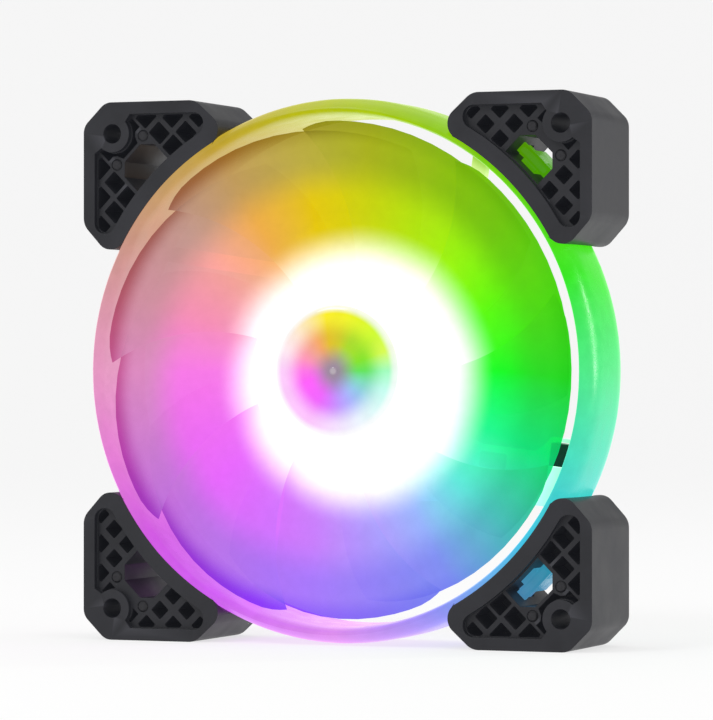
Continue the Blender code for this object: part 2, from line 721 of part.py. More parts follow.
def main():
    for old in list(bpy.data.objects):
        bpy.data.objects.remove(old)
    parts = {
        "frame": make_material("frosted_frame", (0.75, 0.85, 0.75), 0.35),
        "pad": make_material("pad_rubber", (0.03, 0.03, 0.035), 0.55),
        "pin": make_material("pin_nylon", (0.04, 0.04, 0.045), 0.45),
        "blade": make_material("frosted_blade", (0.85, 0.85, 0.80), 0.4),
        "dome": make_material("dome_gloss", (0.25, 0.22, 0.25), 0.12),
        "steel": make_material("steel", (0.55, 0.55, 0.56), 0.35, 1.0),
        "magnet": make_material("ferrite", (0.06, 0.06, 0.065), 0.6),
        "brass": make_material("brass", (0.70, 0.52, 0.22), 0.3, 1.0),
        "bronze": make_material("sintered_bronze", (0.45, 0.30, 0.16), 0.55, 1.0),
        "rubber": make_material("seal_rubber", (0.02, 0.02, 0.02), 0.7),
        "nylon": make_material("insulator_nylon", (0.80, 0.78, 0.70), 0.5),
        "copper": make_material("enamelled_copper", (0.55, 0.22, 0.09), 0.35, 1.0),
        "board": make_material("circuit_board", (0.85, 0.86, 0.84), 0.4),
        "light": make_material("light_white", (0.95, 0.95, 0.85), 0.3),
        "chip": make_material("chip_black", (0.02, 0.02, 0.022), 0.5),
        "can": make_material("capacitor_can", (0.60, 0.60, 0.62), 0.3, 1.0),
        "diffuser": make_material("diffuser_white", (0.92, 0.92, 0.90), 0.5),
        "wire": make_material("wire_sleeve", (0.03, 0.03, 0.03), 0.6),
        "cover": make_material("cover_black", (0.04, 0.04, 0.045), 0.5),
        "label": make_material("label_satin", (0.10, 0.10, 0.11), 0.4),
    }
    make_frame(parts["frame"])
    make_corners(parts["pad"], parts["pin"])
    make_rotor(parts)
    make_bearing(parts)
    make_motor(parts)
    make_electronics(parts)
    make_wiring(parts)


main()
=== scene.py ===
"""Looks of the case fan: fine meshes for the pieces that show, and a material for every piece.

Lengths are in millimetres up to the functions that make the meshes, which turn them into metres.
The fan axis is the Y axis, the intake face looks along -Y, +Z is up, and a depth is measured from
the front face towards the back.
"""
import math

import bmesh
import bpy
from mathutils import Matrix, Vector


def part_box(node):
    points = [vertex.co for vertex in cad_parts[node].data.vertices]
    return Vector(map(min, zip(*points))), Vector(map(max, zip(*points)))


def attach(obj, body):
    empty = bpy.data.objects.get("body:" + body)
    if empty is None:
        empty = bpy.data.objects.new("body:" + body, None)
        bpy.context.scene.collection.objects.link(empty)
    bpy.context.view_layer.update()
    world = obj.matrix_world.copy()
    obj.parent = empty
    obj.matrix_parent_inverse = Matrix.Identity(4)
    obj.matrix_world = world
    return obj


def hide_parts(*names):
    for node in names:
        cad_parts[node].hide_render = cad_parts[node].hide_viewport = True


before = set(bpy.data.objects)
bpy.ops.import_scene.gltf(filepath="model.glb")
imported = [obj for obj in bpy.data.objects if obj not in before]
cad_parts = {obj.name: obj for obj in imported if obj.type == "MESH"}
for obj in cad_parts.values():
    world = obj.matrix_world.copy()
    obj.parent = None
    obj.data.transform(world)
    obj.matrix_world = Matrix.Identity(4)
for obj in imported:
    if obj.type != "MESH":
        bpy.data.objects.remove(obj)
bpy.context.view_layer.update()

MM = 0.001
PI = math.pi
ROOT_TWO = math.sqrt(2.0)
GAP = 0.3
SHARP_EDGE = 40

DEPTH = 25.0
HALF_WIDTH = 59.5
HOLE_PITCH = 105.0
HOLE_DIAMETER = 4.3

BORE_RADIUS = 55.7
BARREL_RADIUS = 59.4
LIP_RADIUS = 57.1
LIP_LENGTH = 8.0
RING_SEGMENTS = 192

STRUT_FRONT, STRUT_BACK = 21.7, 24.8
STRUT_INNER = (27.8, 39.0)
STRUT_OUTER = (55.7, 61.6)
STRUT_WIDTH = 3.5
WIDE_TURN = -88.2
BASE_RADIUS = 27.0
TUBE_OUTER = 4.3

BLADES = 9
TIP_RADIUS = 54.3
TIP_TAPER = 4.2
TIP_CORNER = 1.2
HUB_RADIUS = 20.4
HUB_BACK = 18.2
HUB_WALL = 18.9
BLADE_START = 19.7
ROOT_FRONT, ROOT_BACK = 5.4, 17.0
TIP_FRONT, TIP_BACK = 1.5, 12.0
DOME_RADIUS = 14.3

PAD_END = 26.9
PAD_RIM = 2.7
RECESS_END = 30.4
RECESS_RADIUS = 61.0
RECESS_CORNER = 2.4
RECESS_DEPTH = 1.5
POCKET_DEPTH = 9.0
BOSS_RADIUS = 4.1
LATTICE_PITCH = 4.6
LATTICE_START = (55.15, 5.6)
WINDOW_HALF = 5.1
WINDOW_END = 68.2
WINDOW_CHAMFER = 2.4
PIN_ALONG, PIN_ACROSS = 69.1, 4.5
PIN_RADIUS = 1.2
PIN_FIT = 0.06
LUG_FRONT, LUG_BACK = 10.5, 14.5
LUG_HALF = 8.2
LUG_REACH = 63.3
HOOK_REACH = 64.8
HOOK_FRONT, HOOK_BACK = 3.8, 6.3

CHANNEL_PATH = ((-5.5, -2.4), (22.5, -2.4), (26.2, 1.3), (26.2, 3.2))
CHANNEL_HALF = 2.2
CHANNEL_FRONT = 22.5
OUTLET_PLACE = (26.2, 6.0)
OUTLET_SIZE = (4.0, 5.0)

# Colours of the painted glow from the LEDs round the fan axis, as angle in degrees and screen
# colour. The angle is 0 at the right.
VIVID = ((-180, (251, 136, 238)), (-140, (238, 117, 255)), (-100, (212, 140, 254)),
         (-60, (168, 193, 255)), (-40, (110, 240, 228)), (-20, (30, 252, 157)),
         (0, (20, 253, 40)), (20, (100, 252, 0)), (40, (166, 248, 0)), (60, (192, 236, 0)),
         (80, (217, 222, 0)), (100, (236, 211, 0)), (120, (244, 190, 85)),
         (140, (247, 180, 168)), (160, (249, 161, 198)), (180, (251, 136, 238)))
OUTER = ((-180, (228, 155, 206)), (-140, (205, 127, 232)), (-100, (183, 135, 254)),
         (-60, (143, 158, 246)), (-40, (85, 205, 200)), (-20, (5, 230, 133)),
         (0, (45, 228, 40)), (20, (95, 225, 1)), (40, (130, 210, 1)), (60, (155, 202, 0)),
         (80, (187, 194, 30)), (100, (200, 186, 75)), (120, (207, 172, 106)),
         (140, (207, 166, 155)), (160, (219, 161, 177)), (180, (228, 155, 206)))
RING = ((-180, (239, 158, 202)), (-160, (239, 132, 222)), (-140, (218, 92, 236)),
        (-120, (216, 98, 252)), (-90, (228, 145, 246)), (-65, (150, 150, 255)),
        (-40, (66, 205, 240)), (-20, (70, 229, 200)), (0, (80, 246, 140)), (20, (56, 244, 30)),
        (45, (112, 214, 0)), (80, (174, 206, 0)), (100, (192, 192, 10)),
        (120, (200, 168, 52)), (150, (212, 157, 138)), (180, (239, 158, 202)))
# Cap colours: painted glow with painted reflections of the lit blades.
DOME_PAINTED_GLOW = ((-180, (253, 111, 231)), (-160, (255, 87, 251)), (-120, (241, 92, 254)),
        (-100, (215, 115, 254)), (-80, (189, 146, 254)), (-60, (169, 175, 254)),
        (-40, (144, 198, 234)), (-20, (124, 219, 188)), (0, (93, 229, 82)), (20, (129, 229, 0)),
        (40, (159, 227, 1)), (60, (172, 220, 1)), (80, (208, 201, 0)), (100, (227, 190, 1)),
        (120, (247, 168, 93)), (140, (248, 163, 147)), (160, (254, 145, 186)),
        (180, (253, 111, 231)))
# Pale cap rim: painted reflections and highlights, a yellow arc at the top and a pale window
# reflection at the upper left.
DOME_RIM_PAINTED_REFLECTION = ((-180, (254, 205, 253)), (-120, (255, 196, 255)), (-60, (235, 246, 254)),
            (-20, (196, 253, 240)), (0, (160, 254, 190)), (20, (217, 253, 70)),
            (40, (206, 252, 20)), (60, (227, 250, 3)), (80, (245, 243, 1)),
            (100, (253, 239, 5)), (120, (254, 232, 160)), (140, (254, 233, 216)),
            (160, (254, 231, 242)), (180, (254, 205, 253)))


# ---------------------------------------------------------------- outlines

def polar(radius, degrees):
    angle = math.radians(degrees)
    return (radius * math.cos(angle), radius * math.sin(angle))


def arc(radius, start, end, steps, centre=(0.0, 0.0)):
    """Points along an arc from one angle to another, in degrees."""
    points = []
    for step in range(steps + 1):
        x, z = polar(radius, start + (end - start) * step / steps)
        points.append((centre[0] + x, centre[1] + z))
    return points


def circle(radius, steps, centre=(0.0, 0.0)):
    return arc(radius, 0.0, 360.0, steps, centre)[:-1]


def diagonal(along, across):
    """A point given along and across the diagonal of the upper right corner."""
    return ((along - across) / ROOT_TWO, (along + across) / ROOT_TWO)


def rounded(corners, steps=8):
    """An outline with its corners rounded. Each corner is x, z and radius."""
    outline = []
    count = len(corners)
    for index, (x, z, radius) in enumerate(corners):
        here = Vector((x, z))
        if radius == 0.0:
            outline.append((x, z))
            continue
        before = Vector(corners[index - 1][:2])
        after = Vector(corners[(index + 1) % count][:2])
        back = (before - here).normalized()
        ahead = (after - here).normalized()
        half_angle = back.angle(ahead) / 2
        reach = radius / math.tan(half_angle)
        centre = here + (back + ahead).normalized() * radius / math.sin(half_angle)
        first = here + back * reach - centre
        last = here + ahead * reach - centre
        turn = first.angle_signed(last)
        for step in range(steps + 1):
            spoke = first.copy()
            spoke.rotate(Matrix.Rotation(-turn * step / steps, 2))
            outline.append(tuple(centre + spoke))
    return outline


def rectangle(left, right, low, high):
    return [(left, low), (right, low), (right, high), (left, high)]


def smooth_curve(points, steps):
    """A smooth curve through all the points, with some steps in each stretch."""
    line = [Vector(spot) for spot in points]
    line = [2 * line[0] - line[1]] + line + [2 * line[-1] - line[-2]]
    curve = []
    for a, b, c, d in zip(line, line[1:], line[2:], line[3:]):
        for step in range(steps):
            t = step / steps
            curve.append(tuple(0.5 * (2 * b + (c - a) * t + (2 * a - 5 * b + 4 * c - d) * t ** 2
                                      + (3 * b - a - 3 * c + d) * t ** 3)))
    curve.append(tuple(line[-2]))
    return curve


# ---------------------------------------------------------------- meshes

def point(x, z, depth):
    """A point in metres, from millimetres across, up and back from the front face."""
    return Vector((x * MM, (depth - DEPTH / 2) * MM, z * MM))


def add_object(name, form, material=None, sharp=32):
    bmesh.ops.recalc_face_normals(form, faces=form.faces)
    mesh = bpy.data.meshes.new(name)
    form.to_mesh(mesh)
    form.free()
    made = bpy.data.objects.new(name, mesh)
    bpy.context.scene.collection.objects.link(made)
    if material:
        mesh.materials.append(material)
    smooth(made, sharp)
    return made


def smooth(body, sharp=32):
    body.data.shade_smooth()
    body.data.set_sharp_from_angle(angle=math.radians(sharp))


def turned_form(profile, segments):
    """A solid of revolution about the fan axis. The profile is a list of radius and depth."""
    form = bmesh.new()
    rim = [form.verts.new(point(radius, 0.0, depth)) for radius, depth in profile]
    edges = [form.edges.new(pair) for pair in zip(rim, rim[1:])]
    if profile[0][0] > 0.0 or profile[-1][0] > 0.0:
        edges.append(form.edges.new((rim[-1], rim[0])))
    bmesh.ops.spin(form, geom=rim + edges, cent=(0, 0, 0), axis=(0, -1, 0), angle=2 * PI,
                   steps=segments, use_duplicate=False)
    bmesh.ops.remove_doubles(form, verts=form.verts, dist=0.000002)
    return form


def prism_form(outlines, near, far):
    form = bmesh.new()
    for outline in outlines:
        front = [form.verts.new(point(x, z, near)) for x, z in outline]
        back = [form.verts.new(point(x, z, far)) for x, z in outline]
        form.faces.new(front)
        form.faces.new(back[::-1])
        for index in range(len(outline)):
            after = (index + 1) % len(outline)
            form.faces.new((front[index], back[index], back[after], front[after]))
    return form


def bevel_caps(form, width, steps):
    """Rounds the edges between the front and back faces of a prism and its sides."""
    caps = [edge for edge in form.edges if abs(edge.verts[0].co.y - edge.verts[1].co.y) < 1e-6]
    bmesh.ops.bevel(form, geom=caps, offset=width * MM, segments=steps, profile=0.5,
                    affect="EDGES")
    return form


def sweep_form(section, path, place):
    """A section of (across, depth) points carried along a bent path, with mitred corners."""
    form = bmesh.new()
    line = [Vector(spot) for spot in path]
    rings = []
    for index, spot in enumerate(line):
        behind = (spot - line[index - 1]).normalized() if index else None
        ahead = (line[index + 1] - spot).normalized() if index + 1 < len(line) else None
        way = ((behind or ahead) + (ahead or behind)).normalized()
        side = Vector((-way.y, way.x))
        stretch = 1.0 / way.dot(ahead or behind)
        ring = []
        for across, depth in section:
            along, over = spot + side * across * stretch
            ring.append(form.verts.new(point(*place(along, over), depth)))
        rings.append(ring)
    count = len(section)
    for ring, after in zip(rings, rings[1:]):
        for index in range(count):
            turn = (index + 1) % count
            form.faces.new((ring[index], ring[turn], after[turn], after[index]))
    form.faces.new(rings[0])
    form.faces.new(rings[-1][::-1])
    return form


def boolean(body, tool, operation):
    """Joins, cuts or clips a body with a tool object. The tool is used up."""
    modifier = body.modifiers.new("boolean", "BOOLEAN")
    modifier.object = tool
    modifier.operation = operation
    modifier.solver = "EXACT"
    bpy.context.view_layer.update()
    graph = bpy.context.evaluated_depsgraph_get()
    mesh = bpy.data.meshes.new_from_object(body.evaluated_get(graph))
    body.modifiers.clear()
    body.data = mesh
    bpy.data.objects.remove(tool)


def cut(body, form):
    boolean(body, add_object("cutter", form), "DIFFERENCE")


def soften(body, width):
    """Rounds what is left of the sharp edges after the cuts."""
    body.modifiers.new("facets", "TRIANGULATE")
    bevel = body.modifiers.new("edges", "BEVEL")
    bevel.width = width * MM
    bevel.segments = 2
    bevel.limit_method = "ANGLE"
    bevel.angle_limit = math.radians(SHARP_EDGE)
    bevel.use_clamp_overlap = False
    bevel.harden_normals = False


# ---------------------------------------------------------------- shader nodes

def linear(colour):
    """A screen colour of three values up to 255, as linear light."""
    values = []
    for value in colour:
        share = value / 255.0
        values.append(share / 12.92 if share <= 0.04045 else ((share + 0.055) / 1.055) ** 2.4)
    return tuple(values) + (1.0,)


class Shader:
    """A material with one Principled shader, and short calls that add nodes to it."""

    def __init__(self, name, colour=(128, 128, 128), roughness=0.5, metallic=0.0, specular=0.5):
        self.material = bpy.data.materials.new(name)
        self.material.use_nodes = True
        self.tree = self.material.node_tree
        self.main = self.tree.nodes["Principled BSDF"]
        self.output = self.tree.nodes["Material Output"]
        self.set("Base Color", linear(colour))
        self.set("Roughness", roughness)
        self.set("Metallic", metallic)
        self.set("Specular IOR Level", specular)

    def feed(self, socket, value):
        if isinstance(value, bpy.types.NodeSocket):
            self.tree.links.new(value, socket)
        else:
            socket.default_value = value

    def set(self, name, value):
        self.feed(self.main.inputs[name], value)

    def node(self, kind, out=0, inputs=(), **settings):
        made = self.tree.nodes.new("ShaderNode" + kind)
        for name, value in settings.items():
            setattr(made, name, value)
        for key, value in dict(inputs).items():
            self.feed(made.inputs[key], value)
        return made.outputs[out]

    def maths(self, operation, first, second=0.0):
        return self.node("Math", inputs={0: first, 1: second}, operation=operation)

    def fade(self, value, low, high, start=0.0, end=1.0):
        """Runs smoothly from start to end as the value goes from low to high."""
        return self.node("MapRange", inputs={0: value, 1: low, 2: high, 3: start, 4: end},
                         interpolation_type="SMOOTHSTEP")

    def mix(self, share, first, second, blend="MIX"):
        return self.node("Mix", out=2, inputs={0: share, 6: first, 7: second},
                         data_type="RGBA", blend_type=blend)

    def ramp(self, value, stops):
        """stops are positions from 0 to 1 with linear colours."""
        made = self.tree.nodes.new("ShaderNodeValToRGB")
        steps = made.color_ramp.elements
        while len(steps) < len(stops):
            steps.new(0.5)
        for step, (place, colour) in zip(steps, stops):
            step.position = place
            step.color = colour
        self.feed(made.inputs[0], value)
        return made.outputs[0]

    def position(self):
        return self.node("NewGeometry", out=0)

    def noise(self, scale, detail=3.0, roughness=0.55, stretch=(1, 1, 1)):
        """Noise in metres of world space: scale is the number of features in one metre."""
        place = self.node("Mapping", inputs={0: self.position(), 3: stretch})
        return self.node("TexNoise", inputs={"Vector": place, "Scale": scale,
                                             "Detail": detail, "Roughness": roughness})

    def bump(self, height, strength, distance, normal=None):
        inputs = {"Strength": strength, "Distance": distance, "Height": height}
        if normal:
            inputs["Normal"] = normal
        return self.node("Bump", inputs=inputs)

    def polar(self, shift=(0.0, 0.0)):
        """Radius in millimetres about the fan axis or beside it, and angle as 0 to 1."""
        split = self.tree.nodes.new("ShaderNodeSeparateXYZ")
        self.feed(split.inputs[0], self.position())
        x, z = split.outputs[0], split.outputs[2]
        across = self.maths("MULTIPLY_ADD", x, 1000.0)
        across.node.inputs[2].default_value = -shift[0]
        up = self.maths("MULTIPLY_ADD", z, 1000.0)
        up.node.inputs[2].default_value = -shift[1]
        radius = self.maths("SQRT", self.maths("ADD", self.maths("MULTIPLY", across, across),
                                               self.maths("MULTIPLY", up, up)))
        angle = self.maths("ARCTAN2", z, x)
        turn = self.node("MapRange", inputs={0: angle, 1: -PI, 2: PI, 3: 0.0, 4: 1.0})
        return radius, turn

    def wander(self, turn, scale, amount):
        """Lets an angle stray a little, so that the hues don't change along straight spokes."""
        stray = self.maths("SUBTRACT", self.noise(scale, 2.0), 0.5)
        return self.maths("ADD", turn, self.maths("MULTIPLY", stray, amount))

    def hues(self, turn, table):
        return self.ramp(turn, [((angle + 180) / 360.0, linear(colour)) for angle, colour in table])


WHITE = (1.0, 1.0, 1.0, 1.0)
GLOW_CENTRE = (3.6, -0.8)


# ---------------------------------------------------------------- materials

def blade_material():
    """Frosted plastic, white-hot round the hub and lit in a rainbow further out."""
    shader = Shader("lit_blade", (8, 8, 8), 0.42, specular=0.1)
    glow_radius = shader.polar(GLOW_CENTRE)[0]
    radius, turn = shader.polar()
    turn = shader.wander(turn, 26.0, 0.02)
    hue = shader.mix(shader.fade(radius, 37.0, 47.0), shader.hues(turn, VIVID),
                     shader.hues(turn, OUTER))
    hot = shader.fade(glow_radius, 21.5, 33.0, 0.98, 0.0)
    colour = shader.mix(hot, hue, WHITE)
    flow = shader.noise(420.0, 4.0, 0.6, (1.0, 0.35, 1.0))
    lift = shader.fade(flow, 0.2, 0.8, 0.97, 1.03)
    shader.set("Emission Color", colour)
    shader.set("Emission Strength",
               shader.maths("MULTIPLY", lift, shader.fade(glow_radius, 24.0, 33.0, 1.3, 0.98)))
    shader.set("Roughness", shader.fade(flow, 0.3, 0.7, 0.34, 0.5))
    shader.set("Normal", shader.bump(flow, 0.12, 0.00015))
    clear = shader.node("BsdfTransparent", inputs={0: shader.mix(0.12, hue, WHITE)})
    leftward = shader.maths("ABSOLUTE", shader.maths("SUBTRACT", turn, 0.5))
    tip = shader.maths("MULTIPLY", shader.fade(radius, 49.0, 54.0),
                       shader.fade(leftward, 0.14, 0.28, 0.3, 0.88))
    opaque = shader.maths("MULTIPLY", shader.fade(glow_radius, 25.0, 36.0, 0.95, 0.66),
                          shader.maths("SUBTRACT", 1.0, tip))
    mixed = shader.node("MixShader", inputs={0: opaque, 1: clear,
                                             2: shader.main.outputs[0]})
    shader.feed(shader.output.inputs[0], mixed)
    return shader.material


def frame_material():
    """The light guide of the frame: the ring, the struts and the motor base glow as one."""
    shader = Shader("lit_frame", (10, 10, 10), 0.3, specular=0.13)
    radius, turn = shader.polar()
    turn = shader.wander(turn, 34.0, 0.015)
    inner = shader.mix(shader.fade(radius, 27.0, 44.0, 0.0, 0.7), WHITE,
                       shader.hues(turn, VIVID))
    colour = shader.mix(shader.fade(radius, 50.0, 54.5), inner, shader.hues(turn, RING))
    flow = shader.noise(260.0, 4.0, 0.6)
    mottle = shader.fade(flow, 0.2, 0.8, 0.94, 1.05)
    strength = shader.maths("MULTIPLY", shader.fade(radius, 42.0, 54.5, 1.9, 0.9),
                            shader.fade(radius, 59.6, 62.0, 1.0, 0.5))
    shader.set("Emission Color", colour)
    shader.set("Emission Strength", shader.maths("MULTIPLY", mottle, strength))
    shader.set("Roughness", shader.fade(flow, 0.3, 0.7, 0.2, 0.32))
    shader.set("Normal", shader.bump(flow, 0.08, 0.0002))
    return shader.material


def dome_material():
    """Glossy smoked cap whose colour is painted light: the glowing hues of the rotor with painted
    reflections of the lit blades, a grey middle, and a pale rim of painted highlights and painted
    reflections that turns to painted white glow at the edge.
    """
    shader = Shader("dome_gloss", (10, 9, 10), 0.08, specular=0.3)
    radius, turn = shader.polar()
    button = shader.mix(shader.fade(radius, 0.4, 1.0), linear((180, 168, 178)),
                        linear((152, 134, 154)))
    middle = shader.mix(shader.fade(radius, 0.6, 6.2), button, shader.hues(turn, DOME_PAINTED_GLOW))
    colour = shader.mix(shader.fade(radius, 7.0, 12.4), middle, shader.hues(turn, DOME_RIM_PAINTED_REFLECTION))
    # Towards the edge the cap turns to a painted white glow.
    colour = shader.mix(shader.fade(radius, 12.4, 14.0, 0.0, 0.8), colour, WHITE)
    haze = shader.noise(300.0, 3.0)
    shader.set("Emission Color", colour)
    shader.set("Emission Strength", shader.fade(haze, 0.2, 0.8, 0.94, 1.0))
    shader.set("Roughness", shader.fade(haze, 0.3, 0.7, 0.05, 0.12))
    shader.set("Coat Weight", 0.15)
    shader.set("Coat Roughness", 0.04)
    return shader.material


def pad_material():
    """Satin black rubber with a fine moulded grain, edges lightened by a painted highlight with
    some wear, and a faint painted glow in the shade.
    """
    shader = Shader("pad_rubber", (30, 30, 33), 0.42, specular=0.26)
    grain = shader.noise(5200.0, 2.0)
    cloud = shader.noise(90.0, 4.0)
    # Lighter convex edges: a painted highlight along the edges, with some wear.
    edge_highlight_and_wear = shader.node("NewGeometry", out=7)
    edge = shader.fade(edge_highlight_and_wear, 0.52, 0.62)
    body = shader.mix(shader.fade(cloud, 0.3, 0.7), linear((27, 27, 30)), linear((35, 35, 39)))
    shader.set("Base Color", shader.mix(shader.maths("MULTIPLY", edge, 0.5), body,
                                        linear((72, 72, 78))))
    shader.set("Roughness", shader.fade(cloud, 0.25, 0.75, 0.38, 0.5))
    shader.set("Normal", shader.bump(grain, 0.18, 0.00006))
    # A faint painted glow stands in for fill light, so the shaded pockets don't go black.
    glowing(shader, 1.0, linear((17, 18, 21)))
    return shader.material


def plain_material(name, colour, roughness, metallic=0.0, specular=0.5, scale=700.0,
                   spread=10, stretch=(1, 1, 1), relief=0.1):
    """A moulded or machined surface: its colour, gloss and relief vary with one noise."""
    shader = Shader(name, colour, roughness, metallic, specular)
    grain = shader.noise(scale, 3.0, 0.6, stretch)
    dark = linear([max(value - spread, 0) for value in colour])
    light = linear([min(value + spread, 255) for value in colour])
    share = shader.fade(grain, 0.3, 0.7)
    shader.set("Base Color", shader.mix(share, dark, light))
    shader.set("Roughness", shader.fade(grain, 0.3, 0.7, max(roughness - 0.08, 0.03),
                                        roughness + 0.08))
    shader.set("Normal", shader.bump(grain, relief, 0.0001))
    return shader


def glowing(shader, strength, colour=WHITE):
    shader.set("Emission Color", colour)
    shader.set("Emission Strength", strength)
    return shader.material


def winding_material():
    """Enamelled copper wire wound in fine turns."""
    shader = Shader("enamelled_copper", (180, 92, 48), 0.3, 1.0)
    wave = shader.node("TexWave", out=1, inputs={"Vector": shader.position(), "Scale": 900.0,
                                                 "Distortion": 0.6, "Detail": 1.0},
                       bands_direction="DIAGONAL")
    shader.set("Base Color", shader.mix(wave, linear((120, 52, 26)), linear((205, 112, 62))))
    shader.set("Normal", shader.bump(wave, 0.6, 0.0002))
    return shader.material


def label_material():
    """Blank satin film with a faint spun pattern and a printed rim."""
    shader = Shader("label_film", (44, 45, 49), 0.34)
    radius = shader.polar()[0]
    spun = shader.maths("SINE", shader.maths("MULTIPLY", radius, 18.0))
    line = shader.fade(shader.maths("ABSOLUTE", shader.maths("SUBTRACT", radius, 18.6)),
                       0.15, 0.3, 1.0, 0.0)
    inner = shader.fade(shader.maths("ABSOLUTE", shader.maths("SUBTRACT", radius, 6.4)),
                        0.1, 0.2, 1.0, 0.0)
    base = shader.mix(shader.fade(spun, -1.0, 1.0), linear((38, 39, 43)), linear((50, 51, 56)))
    marked = shader.mix(shader.maths("MAXIMUM", line, inner), base, linear((150, 152, 158)))
    shader.set("Base Color", marked)
    shader.set("Roughness", shader.fade(spun, -1.0, 1.0, 0.28, 0.42))
    return shader.material


# ---------------------------------------------------------------- frame piece

def barrel(depth, offset=0.0):
    """Outer radius of the ring at a depth: full in the middle, drawn in at both lips."""
    inward = min(depth, DEPTH - depth, LIP_LENGTH) / LIP_LENGTH
    return BARREL_RADIUS + offset - (BARREL_RADIUS - LIP_RADIUS) * (1.0 - inward) ** 2.2


def strut_place(turn):
    """Returns a function from along and across a strut, turned about the axis, to the plane."""
    start = Vector(polar(*STRUT_INNER))
    way = (Vector(polar(*STRUT_OUTER)) - start).normalized()
    spin = Matrix.Rotation(math.radians(turn), 2)

    def place(along, across):
        spot = start + way * along + Vector((-way.y, way.x)) * across
        spot.rotate(spin)
        return tuple(spot)

    return place


def quarter_turns(outline):
    turns = []
    for quarter in range(4):
        spin = Matrix.Rotation(PI / 2 * quarter, 2)
        turns.append([tuple(spin @ Vector(spot)) for spot in outline])
    return turns


def join_lugs(ring):
    """A tongue into each corner pad, with a hooked bar that stands up in the pad's window."""
    for inner, outer, half, near, far, edge in (
            (57.6, LUG_REACH, LUG_HALF, LUG_FRONT, LUG_BACK, 0.35),
            (61.5, HOOK_REACH - 0.1, 2.0, HOOK_FRONT + 0.4, LUG_BACK - 0.3, 0.3),
            (62.4, HOOK_REACH, 4.3, HOOK_FRONT, HOOK_BACK, 0.8)):
        turns = quarter_turns([diagonal(*spot) for spot in rectangle(inner, outer, -half, half)])
        for outlines, front, back in ((turns[0::3], near, far),
                                      (turns[1:3], DEPTH - far, DEPTH - near)):
            form = bevel_caps(prism_form(outlines, front, back), edge, 3)
            boolean(ring, add_object("lug", form), "UNION")


def make_frame(material):
    depths = [0.12, 0.35, 0.7, 1.1, 1.6, 2.2, 3.0, 3.8, 4.8, 6.0, 8.0]
    outside = [(barrel(depth), depth) for depth in depths]
    outside += [(barrel(depth), DEPTH - depth) for depth in reversed(depths)]
    foot = smooth_curve([(56.9, DEPTH), (56.4, 24.93), (56.0, 24.3), (55.78, 23.3),
                         (BORE_RADIUS, 22.3)], 3)
    mouth = smooth_curve([(BORE_RADIUS, 5.0), (55.8, 3.4), (56.0, 2.0), (56.3, 0.9),
                          (56.62, 0.2), (56.85, 0.0)], 3)
    ring = add_object("frame_ring", turned_form(outside + foot + mouth, RING_SEGMENTS), material)

    base = [(TUBE_OUTER + GAP, 21.4), (26.0, 21.4), (26.0, 18.9), (26.1, 18.8), (26.7, 18.8),
            (26.92, 18.9), (BASE_RADIUS, 19.2), (BASE_RADIUS, 24.3), (26.8, 24.7), (26.4, 24.93),
            (26.0, DEPTH), (21.3, DEPTH), (21.06, 24.9), (21.0, 24.7), (21.0, 24.1),
            (TUBE_OUTER + GAP, 24.1)]
    struts = []
    half = STRUT_WIDTH / 2
    for turn in (0.0, 90.0, 180.0):
        place = strut_place(turn)
        struts.append([place(*spot) for spot in rectangle(-6.0, 36.0, -half, half)])
    place = strut_place(WIDE_TURN)
    wide = [(-6.0, -8.5), (0.0, -7.6), (6.0, -5.5), (38.0, -5.5), (38.0, 9.6), (23.5, 9.6),
            (20.5, 5.5), (7.0, 5.5), (0.5, 8.6), (-6.0, 10.0)]
    struts.append([place(*spot) for spot in wide])
    spider = add_object("struts", bevel_caps(prism_form(struts, STRUT_FRONT, STRUT_BACK), 0.5, 3))
    reach = [(25.0, 20.0), (56.4, 20.0), (56.4, 26.0), (25.0, 26.0)]
    boolean(spider, add_object("reach", turned_form(reach, RING_SEGMENTS)), "INTERSECT")
    boolean(spider, add_object("base", turned_form(base, 128)), "UNION")
    boolean(ring, spider, "UNION")
    join_lugs(ring)

    groove = [(-CHANNEL_HALF, CHANNEL_FRONT), (CHANNEL_HALF, CHANNEL_FRONT),
              (CHANNEL_HALF, 26.0), (-CHANNEL_HALF, 26.0)]
    cut(ring, sweep_form(groove, CHANNEL_PATH, place))
    middle, over = OUTLET_PLACE
    width, height = OUTLET_SIZE
    socket = rectangle(middle - width / 2 - GAP, middle + width / 2 + GAP,
                       over - height / 2 - GAP, over + height / 2 + GAP)
    cut(ring, prism_form([[place(*spot) for spot in socket]], 20.0, 26.0))
    window = rounded([(6.6, 0.9, 0.6), (14.0, 0.9, 0.6), (14.0, 4.6, 0.6), (6.6, 4.6, 0.6)])
    wire_hole = rectangle(-5.2, -3.2, -4.2, -0.6)
    holes = [[place(*spot) for spot in window], [place(*spot) for spot in wire_hole]]
    cut(ring, prism_form(holes, 20.0, 26.0))
    smooth(ring, 38)
    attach(ring, "frame")
    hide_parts("frame")


# ---------------------------------------------------------------- corner pads

def in_recess(x, z):
    along, across = (x + z) / ROOT_TWO, (z - x) / ROOT_TWO
    limit = HALF_WIDTH - PAD_RIM
    field = RECESS_END < x < limit and RECESS_END < z < limit
    clear = math.hypot(x, z) > RECESS_RADIUS and along < HOLE_PITCH / ROOT_TWO
    return field and clear and abs(across) > WINDOW_HALF + 0.5


def lattice_cells():
    """Columns and rows of the lattice whose squares lie mostly in the sunk field."""
    cells = []
    along_start, across_start = LATTICE_START
    for side in (-1, 1):
        for column in range(4):
            for row in range(5):
                inside = 0
                for step in range(36):
                    across = across_start + LATTICE_PITCH * (column + (step % 6 + 0.5) / 6)
                    along = along_start + LATTICE_PITCH * (row + (step // 6 + 0.5) / 6)
                    inside += in_recess(*diagonal(along, side * across))
                if inside > 9:
                    cells.append((side, column, row))
    return cells


